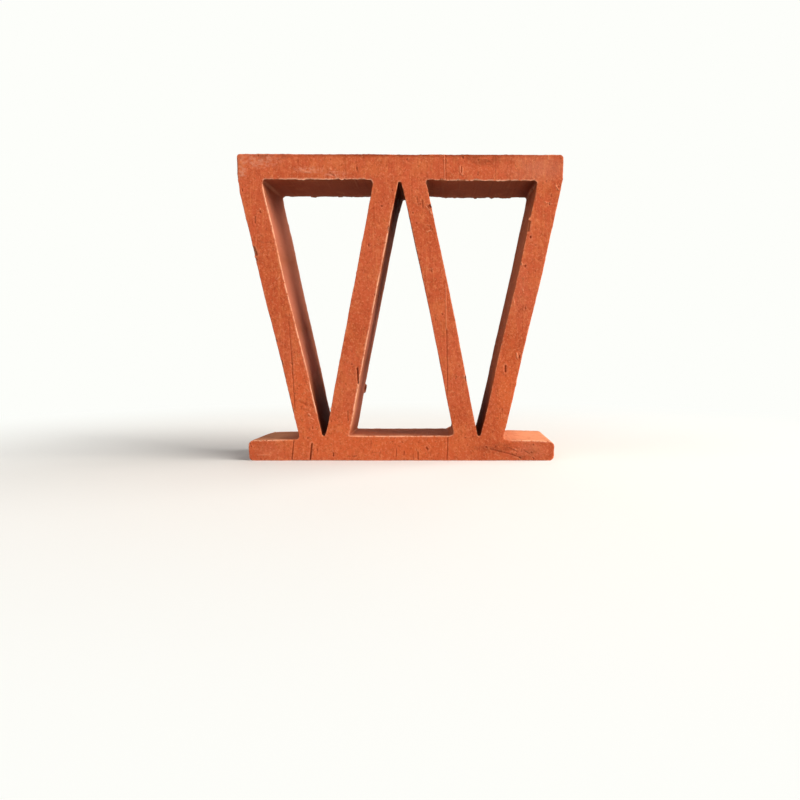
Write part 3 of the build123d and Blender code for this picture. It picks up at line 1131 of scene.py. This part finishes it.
# Areas that take a tint of their own: the wider area that each is kept to, if any,
# and its spots, each with its centre and half size in millimetres
TINT_PLACES = {
    "bloom": (None, (
        ((-86, -30, 185.5), (16, 30, 5)), ((-97, -30, 179), (4, 30, 5)), ((-56, -30, 180), (11, 30, 2.5)),
        ((-40, -30, 177.5), (8, 30, 2.5)))),
    "thin_bloom": ("cut_face", (
        ((84, -21, 181), (24, 30, 10)), ((74, -4, 108), (12, 30, 34)), ((-86, -6, 7), (16, 30, 9)),
        ((84, -8, 7), (18, 30, 9)))),
    # Painted light on the walls that face the key lamp on the right
    "painted_light_on_walls": ("wall", (
        ((-80, -5, 148), (11, 70, 34)), ((-71, -5, 105), (11, 70, 34)), ((-63, -5, 68), (9, 70, 24)),
        ((-29, -5, 40), (8, 70, 30)), ((-20, -5, 84), (8, 70, 28)))),
    "flush": ("cut_face", (
        ((-20, -30, 10), (80, 8, 26)), ((-66, -30, 40), (10, 8, 30)), ((70, -30, 40), (12, 8, 40)))),
    # Real scuffs low on the right; the two spots along the top edge are painted shade
    "scuffs_and_shaded_edge": (None, (
        ((66, -30, 8), (22, 4, 4)), ((80, -30, 4), (14, 4, 4)), ((-78, -30, 188), (14, 30, 3)),
        ((50, -30, 186), (18, 30, 4)))),
    # Painted shade along the top front edge, at the left upper corner and beside a back burr
    "shaded_edge": (None, (
        ((20, -30, 189.9), (125, 6, 2.8)), ((-100, -30, 183), (1.5, 5, 8)),
        ((-27.6, 31, 43.3), (2.4, 4, 4.2)))),
    # Dust and painted sheen on the lower slab's ends, and painted light on a strip of the inner left leg's
    # right wall
    "ledges_and_lit_strip": ("wall", (
        ((-88, 0, 14), (17, 60, 6)), ((88, 0, 14), (24, 60, 6)), ((-29, -28, 34), (7, 14, 30)))),
    # Painted shade in the openings' narrow ends and in the right opening's upper right corner
    "cleft": ("wall", (
        ((-50.4, 0, 30), (13, 70, 25)), ((0, 0, 160), (12, 70, 19)), ((50.4, 0, 30), (13, 70, 25)),
        ((84, 0, 177), (9, 70, 6)))),
    # Painted sheen along the walls' back edge
    "back_edge": ("wall", (((0, 31, 95), (900, 6, 900)),)),
    # Painted highlight in the corners under the upper slab at both outer legs
    "seam": ("wall", (((-83.8, 0, 173.6), (1.6, 40, 1.6)), ((84.4, 0, 172.6), (1.6, 30, 1.6)))),
    # Pale torn lips and painted rim highlights along the front arrises
    "lips_and_lit_rims": ("arris", (
        ((-45, -30, 174.5), (48, 3, 3.5)), ((50, -30, 174), (42, 3, 3.5)), ((0, -30, 16), (40, 3, 3)),
        ((-87, -30, 13.4), (15, 3, 3)), ((86, -30, 13), (18, 3, 3)), ((-81, -30, 155), (9, 3, 28)),
        ((-72.5, -30, 115), (9, 3, 28)), ((-64, -30, 76), (8, 3, 28)), ((-57, -30, 42), (5, 3, 20)),
        ((-8, -30, 140), (7, 3, 24)), ((-15.5, -30, 105), (7, 3, 28)), ((-23, -30, 70), (7, 3, 28)),
        ((-29.5, -30, 38), (7, 3, 24)))),
    "back_rim": ("arris", (
        ((-45, 30, 174.5), (50, 4, 4)), ((50, 30, 174.5), (50, 4, 4)), ((80, 30, 150), (6, 4, 34)),
        ((71, 30, 105), (8, 4, 34)), ((62, 30, 62), (8, 4, 34)))),
}

# A spot is full out to its core and gone past its rim, in shares of its half size
SPOT_CORE = 0.3
SPOT_RIM = 1.2

# Height that each pattern adds to the skin, in millimetres
RELIEF = (
    ("sandy_mottle", 0.12), ("wire_streaks_pale", 0.10), ("wire_streaks_dark", -0.14),
    ("die_lines_pale", 0.06), ("die_lines_dark", -0.06),
    ("coarse_sand_pale", 0.16), ("coarse_sand_dark", -0.20),
    ("fine_sand_pale", 0.10), ("fine_sand_dark", -0.14),
)


def spots(tree, place, spots_mm):
    """A mask that is 1 in the core of each spot and 0 past its rim."""
    total = None
    for centre, half in spots_mm:
        moved = add_node(tree, "ShaderNodeVectorMath", {"operation": "SUBTRACT"}, {
            1: [value * MM for value in centre]}, {0: place})
        scaled = add_node(tree, "ShaderNodeVectorMath", {"operation": "DIVIDE"}, {
            1: [value * MM for value in half]}, {0: moved.outputs["Vector"]})
        reach = add_node(tree, "ShaderNodeVectorMath", {"operation": "LENGTH"}, None, {
            0: scaled.outputs["Vector"]})
        spot = add_node(tree, "ShaderNodeMapRange", {"interpolation_type": "SMOOTHSTEP"}, {
            "From Min": SPOT_RIM, "From Max": SPOT_CORE}, {"Value": reach.outputs["Value"]})
        mask = spot.outputs["Result"]
        if total:
            mask = add_node(tree, "ShaderNodeMath", {"operation": "MAXIMUM"}, None, {
                0: total, 1: mask}).outputs["Value"]
        total = mask
    return total


def clay_areas(tree, place):
    """The masks of all areas that take a tint, by their names."""
    areas = {
        name: add_node(tree, "ShaderNodeAttribute", {"attribute_name": name}).outputs["Fac"]
        for name in ("cut_face", "arris", "hollow", "raised")}
    areas["wall"] = add_node(tree, "ShaderNodeMath", {"operation": "SUBTRACT"}, {0: 1.0}, {
        1: areas["cut_face"]}).outputs["Value"]
    for name, (wider, spots_mm) in TINT_PLACES.items():
        areas[name] = spots(tree, place, spots_mm)
        if wider:
            areas[name] = add_node(tree, "ShaderNodeMath", {"operation": "MULTIPLY"}, None, {
                0: areas[name], 1: areas[wider]}).outputs["Value"]
    return areas


def clay_tints(tree, place, clay):
    """The clay's colour under all tints, painted light and shade among them, and under the hollows'
    darkening, partly painted shade, and how much of each tint shows, by its name.
    """
    areas = clay_areas(tree, place)
    colour = None
    shown = {}
    for i, (name, tint, lumps, low, high, amount, area) in enumerate(TINTS):
        scaled = add_node(tree, "ShaderNodeMapping", None, {
            "Location": [i * step for step in TINT_STEPS],
            "Scale": [1 / (size * MM) for size in lumps]}, {"Vector": place})
        clouds = add_node(tree, "ShaderNodeTexNoise", None, NOISE_LOOK, {
            "Vector": scaled.outputs["Vector"]})
        shown[name] = add_node(tree, "ShaderNodeMapRange", {"interpolation_type": "SMOOTHSTEP"}, {
            "From Min": low, "From Max": high, "To Max": amount}, {
            "Value": clouds.outputs["Fac"]}).outputs["Result"]
        if area != "all":
            shown[name] = add_node(tree, "ShaderNodeMath", {"operation": "MULTIPLY"}, None, {
                0: shown[name], 1: areas[area]}).outputs["Value"]
        mix = add_node(tree, "ShaderNodeMix", {"data_type": "RGBA"}, {
            MIX_A: linear(clay), MIX_B: linear(tint)}, {"Factor": shown[name]})
        if colour:
            tree.links.new(colour, mix.inputs[MIX_A])
        colour = mix.outputs[MIX_RESULT]
    hollow = add_node(tree, "ShaderNodeMath", {"operation": "MULTIPLY"}, {1: HOLLOW_SHARE}, {
        0: areas["hollow"]})
    dark = add_node(tree, "ShaderNodeMix", {"data_type": "RGBA"}, {MIX_B: linear(HOLLOW_COLOUR)}, {
        "Factor": hollow.outputs["Value"], MIX_A: colour})
    return dark.outputs[MIX_RESULT], shown


def clay_relief(tree, shown):
    """The skin's fine relief, whose sand and streaks rise and sink as their tints show."""
    height = None
    for name, rise in RELIEF:
        share = add_node(tree, "ShaderNodeMath", {"operation": "MULTIPLY_ADD"}, {1: rise, 2: 0.0}, {
            0: shown[name]})
        if height:
            tree.links.new(height, share.inputs[2])
        height = share.outputs["Value"]
    relief = add_node(tree, "ShaderNodeBump", None, {"Strength": 1.0, "Distance": MM}, {
        "Height": height})
    return relief.outputs["Normal"]


def terracotta(clay):
    """Unglazed fired clay: matt and sandy where the wire cut it, browner and smoother from the die, with
    painted shade and painted highlights in places.
    """
    material = bpy.data.materials.new("terracotta_wire_cut_unglazed")
    material.use_nodes = True
    tree = material.node_tree
    tree.nodes.clear()
    place = add_node(tree, "ShaderNodeTexCoord").outputs["Object"]
    colour, shown = clay_tints(tree, place, clay)
    surface = add_node(tree, "ShaderNodeBsdfPrincipled", None, {
        "Roughness": CLAY_ROUGHNESS, "IOR": CLAY_IOR, "Specular IOR Level": CLAY_SHINE}, {
        "Base Color": colour, "Normal": clay_relief(tree, shown)})
    add_node(tree, "ShaderNodeOutputMaterial", None, None, {"Surface": surface.outputs["BSDF"]})
    return material


class BREEZE_OT_block(bpy.types.Operator):
    """Extrude, cut and fire the breeze block"""

    bl_idname = "breeze.block"
    bl_label = "Breeze block"

    def execute(self, context):
        sizes = context.scene.breeze_sizes
        looks = context.scene.breeze_looks
        section = Section(sizes)
        block = coarse_column(section)
        fine_grid(block, section)
        settle_order(block)
        crowd_arrises(block, section)
        round_corners(block, section, sizes)
        weather(block, section, looks)
        check_closed(block)
        deselect_all()
        block.select_set(True)
        context.view_layer.objects.active = block
        bpy.ops.object.shade_smooth()
        block.data.materials.append(terracotta(looks.clay))
        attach(block, "root")
        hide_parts(NODE)
        return {"FINISHED"}


# The photograph's camera, found from the edges of the block
CAMERA_LENS = 36.0
CAMERA_SENSOR = 36.0
CAMERA_PLACE = (20.7 * MM, -546.8 * MM, 76.8 * MM)
CAMERA_PITCH = math.radians(10.195)
CAMERA_NEAR = 10 * MM

# Side of the square picture, and where its cropping left the middle of the view, in pixels
PICTURE = 800
VIEW_MIDDLE = (433.3, 484.9)


def add_camera():
    """Camera at the photograph's place, pitched down a little, its picture cropped off centre."""
    data = bpy.data.cameras.new("camera")
    camera = bpy.data.objects.new("camera", data)
    bpy.context.scene.collection.objects.link(camera)
    data.lens = CAMERA_LENS
    data.sensor_width = CAMERA_SENSOR
    data.shift_x = (PICTURE / 2 - VIEW_MIDDLE[0]) / PICTURE
    data.shift_y = (VIEW_MIDDLE[1] - PICTURE / 2) / PICTURE
    data.clip_start = CAMERA_NEAR
    camera.location = CAMERA_PLACE
    camera.rotation_euler = (math.pi / 2 - CAMERA_PITCH, 0, 0)
    bpy.context.scene.camera = camera


# Lamps: name, turn from the front towards the right and rise in degrees, distance, size, level, colour and
# whether the walls mirror it. At level 1 a lamp that faces a surface shows its colour as it is written.
BLOCK_MIDDLE = Vector((0, 0, HEIGHT / 2))
LAMPS = (
    ("key", 74, 29, 3.0, 2.25, 1.76, "FFFAF4", True),
    ("front_soft", -14, 5, 3.0, 2.1, 0.71, "FFFDFA", True),
    ("left_soft", -64, 36, 3.0, 2.0, 0.20, "FBFCFF", True),
    ("side_soft", 112, 22, 3.0, 1.3, 0.46, "FFFDFA", True),
    ("rear_soft", 176, 14, 3.0, 2.1, 0.34, "FFFDFA", False),
)


def add_lamp(name, turn, rise, distance, size, level, colour, mirrored):
    """A square soft lamp that looks at the block's middle, mirrored in its walls or not."""
    turn, rise = math.radians(turn), math.radians(rise)
    way = Vector((math.sin(turn) * math.cos(rise), -math.cos(turn) * math.cos(rise), math.sin(rise)))
    data = bpy.data.lights.new(name, "AREA")
    data.shape = "SQUARE"
    data.size = size
    data.energy = level * (math.pi * distance) ** 2
    data.color = linear(colour)[:3]
    lamp = bpy.data.objects.new(name, data)
    bpy.context.scene.collection.objects.link(lamp)
    lamp.location = BLOCK_MIDDLE + way * distance
    lamp.rotation_euler = way.to_track_quat("Z", "Y").to_euler()
    lamp.visible_camera = False
    lamp.visible_glossy = mirrored


# The floor turns from a lit surface into plain backdrop between these distances from the block
FLOOR_SIZE = 6.0
FLOOR_LIT = 0.12
FLOOR_PLAIN = 0.5

# The backdrop as it is seen, the grey that the floor sheds on the block, and the room's own even light
BACKDROP = "FDFEFA"
BOUNCE = "8B8B8B"
ROOM_LIGHT = "FFFFFF"
ROOM_LEVEL = 0.06


def looked_at(tree):
    """1 where the camera, a mirror or glass looks at a surface, and 0 for the light that it sheds."""
    path = add_node(tree, "ShaderNodeLightPath")
    seen = path.outputs["Is Camera Ray"]
    for name in ("Is Glossy Ray", "Is Transmission Ray"):
        seen = add_node(tree, "ShaderNodeMath", {"operation": "MAXIMUM"}, None, {
            0: seen, 1: path.outputs[name]}).outputs["Value"]
    return seen


def studio_floor(looks):
    """Pale floor that shows the block's soft shadow near it and the plain backdrop further off."""
    material = bpy.data.materials.new("studio_floor_matt_paint")
    material.use_nodes = True
    tree = material.node_tree
    tree.nodes.clear()
    place = add_node(tree, "ShaderNodeTexCoord").outputs["Object"]
    reach = add_node(tree, "ShaderNodeVectorMath", {"operation": "LENGTH"}, None, {0: place})
    plain = add_node(tree, "ShaderNodeMapRange", {"interpolation_type": "SMOOTHSTEP"}, {
        "From Min": FLOOR_LIT, "From Max": FLOOR_PLAIN}, {"Value": reach.outputs["Value"]})
    lit = add_node(tree, "ShaderNodeBsdfDiffuse", None, {"Color": linear(looks.floor)})
    glow = add_node(tree, "ShaderNodeEmission", None, {"Color": linear(BACKDROP), "Strength": 1.0})
    seen = add_node(tree, "ShaderNodeMixShader", None, None, {
        "Fac": plain.outputs["Result"], 1: lit.outputs["BSDF"], 2: glow.outputs["Emission"]})
    unseen = add_node(tree, "ShaderNodeBsdfDiffuse", None, {"Color": linear(BOUNCE)})
    both = add_node(tree, "ShaderNodeMixShader", None, None, {
        "Fac": looked_at(tree), 1: unseen.outputs["BSDF"], 2: seen.outputs["Shader"]})
    add_node(tree, "ShaderNodeOutputMaterial", None, None, {"Surface": both.outputs["Shader"]})
    return material


def studio_world():
    """Weak even light from all round, seen by the camera as the plain backdrop."""
    world = bpy.data.worlds.new("studio")
    world.use_nodes = True
    tree = world.node_tree
    tree.nodes.clear()
    soft = add_node(tree, "ShaderNodeBackground", None, {
        "Color": linear(ROOM_LIGHT), "Strength": ROOM_LEVEL})
    seen = add_node(tree, "ShaderNodeBackground", None, {"Color": linear(BACKDROP), "Strength": 1.0})
    both = add_node(tree, "ShaderNodeMixShader", None, None, {
        "Fac": looked_at(tree), 1: soft.outputs["Background"], 2: seen.outputs["Background"]})
    add_node(tree, "ShaderNodeOutputWorld", None, None, {"Surface": both.outputs["Shader"]})
    return world


class BREEZE_OT_stage(bpy.types.Operator):
    """Set up the pale floor, the soft lamps and the camera"""

    bl_idname = "breeze.stage"
    bl_label = "Stage"

    def execute(self, context):
        looks = context.scene.breeze_looks
        deselect_all()
        bpy.ops.mesh.primitive_plane_add(size=FLOOR_SIZE, location=(0, 0, LOW.z))
        floor = context.object
        floor.name = "floor"
        floor.data.materials.append(studio_floor(looks))
        context.scene.world = studio_world()
        for lamp in LAMPS:
            add_lamp(*lamp)
        add_camera()
        context.scene.view_settings.view_transform = "Standard"
        return {"FINISHED"}


class BREEZE_PT_panel(bpy.types.Panel):
    """Sizes, colours and steps of the breeze block"""

    bl_idname = "BREEZE_PT_panel"
    bl_label = "Breeze block"
    bl_space_type = "VIEW_3D"
    bl_region_type = "UI"
    bl_category = "Breeze block"

    def draw(self, context):
        for group in (context.scene.breeze_sizes, context.scene.breeze_looks):
            column = self.layout.column()
            for name in group.__annotations__:
                column.prop(group, name)
        self.layout.operator(BREEZE_OT_stage.bl_idname)
        self.layout.operator(BREEZE_OT_block.bl_idname)


CLASSES = (BreezeBlockSizes, BreezeBlockLooks, BREEZE_OT_stage, BREEZE_OT_block, BREEZE_PT_panel)


def register():
    """Registers the classes and hangs the settings on the scene."""
    for cls in CLASSES:
        bpy.utils.register_class(cls)
    bpy.types.Scene.breeze_sizes = PointerProperty(type=BreezeBlockSizes)
    bpy.types.Scene.breeze_looks = PointerProperty(type=BreezeBlockLooks)


def unregister():
    """Takes the settings and the classes away again."""
    del bpy.types.Scene.breeze_looks
    del bpy.types.Scene.breeze_sizes
    for cls in reversed(CLASSES):
        bpy.utils.unregister_class(cls)


def main():
    """Builds the stage and the block."""
    register()
    bpy.ops.breeze.stage()
    bpy.ops.breeze.block()


if __name__ == "__main__":
    main()
